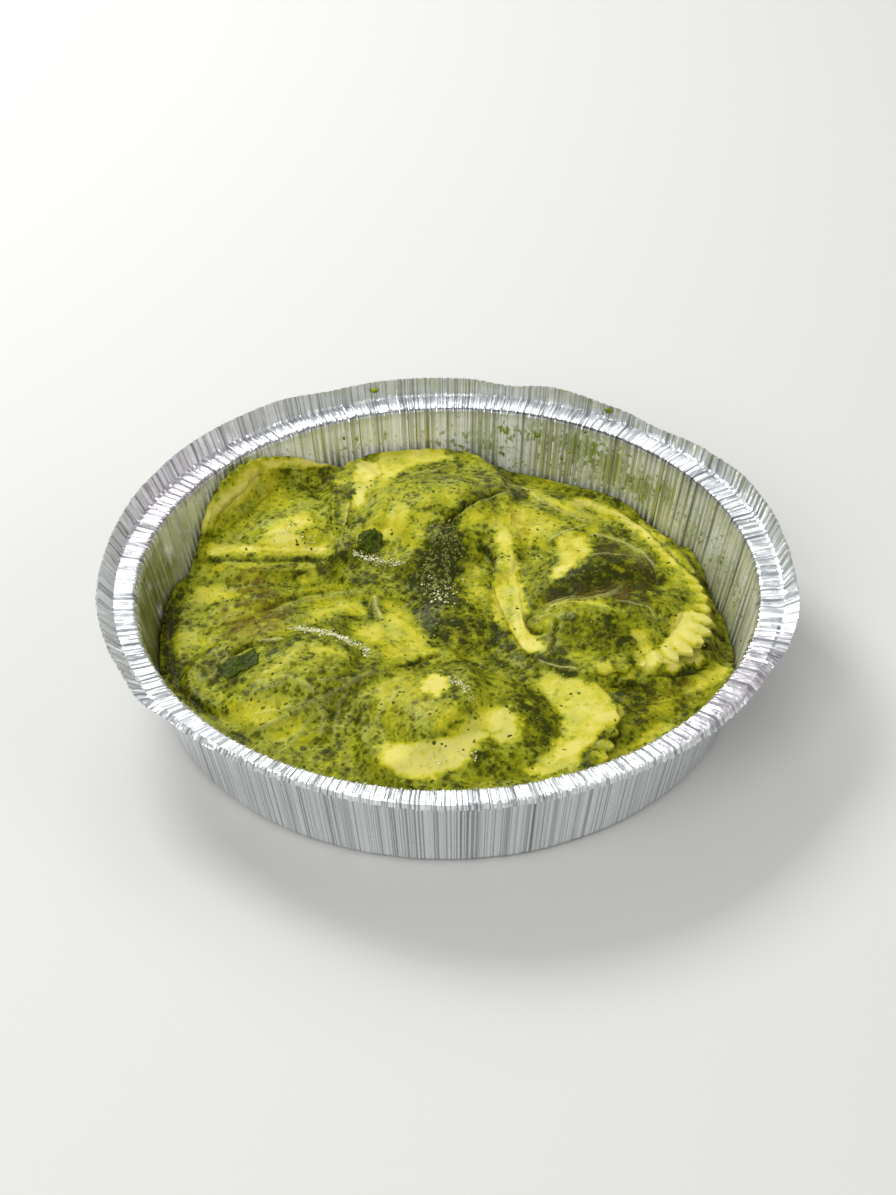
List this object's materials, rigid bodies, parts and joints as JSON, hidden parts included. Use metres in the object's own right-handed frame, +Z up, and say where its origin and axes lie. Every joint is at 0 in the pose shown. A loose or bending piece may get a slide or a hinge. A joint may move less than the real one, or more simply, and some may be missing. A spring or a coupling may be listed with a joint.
{
  "type": "pesto ravioli in a round foil pan",
  "caption": "Round fluted foil take-out pan filled with overlapping square ravioli with toothed edges, coated in thick green pesto.",
  "frame": {"origin": "centre of the pan's flat underside", "axes": "+Z up, +Y towards the back of the pan where the lip stands up, +X to the right as seen from the front"},
  "size_m": [0.2084, 0.2027, 0.0418],
  "materials": {
    "foil": "bright crimped foil",
    "dough": "cooked egg pasta coated in pesto and oil",
    "pesto": "thick oily pesto",
    "basil": "dark wilted leaf"
  },
  "bodies": {
    "root": {"foil_pan": "foil", "raviolo_left": "dough", "raviolo_front_right": "dough", "raviolo_back_right": "dough", "raviolo_back_left": "dough", "raviolo_front_left": "dough", "raviolo_back_centre": "dough", "raviolo_front": "dough", "raviolo_right": "dough", "pesto_pool": "pesto", "basil_left": "basil", "basil_centre": "basil"}
  },
  "joints": []
}
